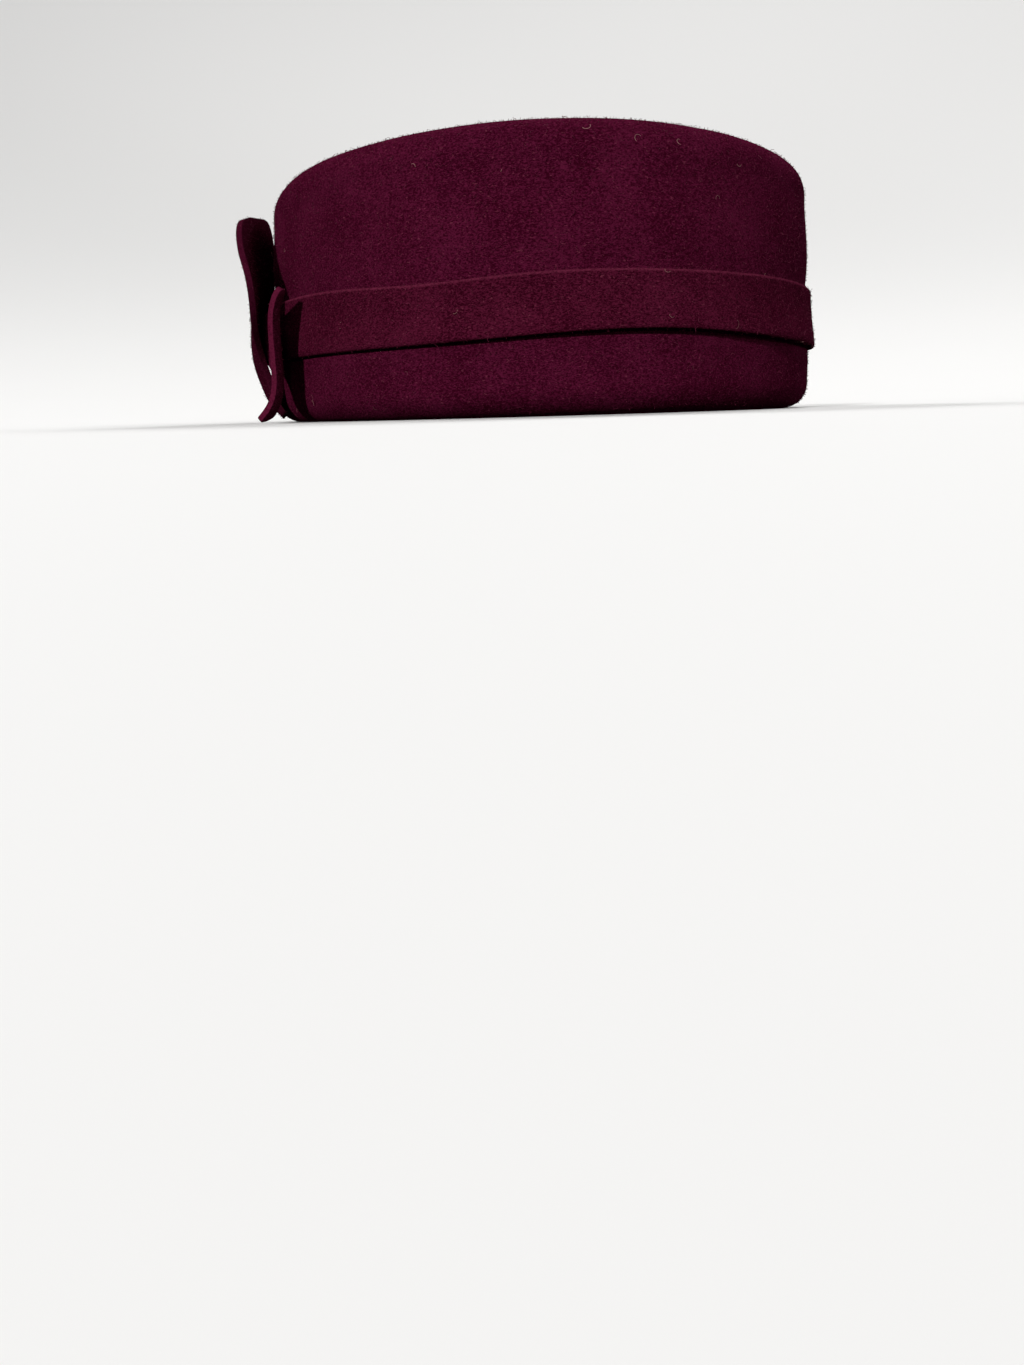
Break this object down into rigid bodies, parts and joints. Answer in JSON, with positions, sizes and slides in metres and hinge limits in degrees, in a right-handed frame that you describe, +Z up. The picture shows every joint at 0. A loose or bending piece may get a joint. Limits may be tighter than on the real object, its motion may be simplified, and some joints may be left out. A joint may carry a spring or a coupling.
{
  "type": "pillbox hat",
  "caption": "Brimless oval felt hat with straight sides, a flat top, a felt band round the wall and a two-leaf felt trim at the right ear.",
  "frame": {"origin": "on the surface that the hat rests on, under the middle of the whole hat's box, trim included", "axes": "+Z up, +Y from the brow to the nape, -X towards the trim at the wearer's right ear"},
  "size_m": [0.1846, 0.218, 0.0754],
  "materials": {
    "crown_felt": "matt wool felt in dark burgundy, brushed, with fine lighter fibres standing off it",
    "band_felt": "the same matt wool felt, pressed a little smoother, with a lighter cut edge along the top",
    "trim_felt": "the same matt wool felt, stiffened, with lighter cut edges"
  },
  "bodies": {
    "root": {"crown": "crown_felt", "band": "band_felt", "tall_leaf": "trim_felt", "front_leaf": "trim_felt"}
  },
  "joints": []
}
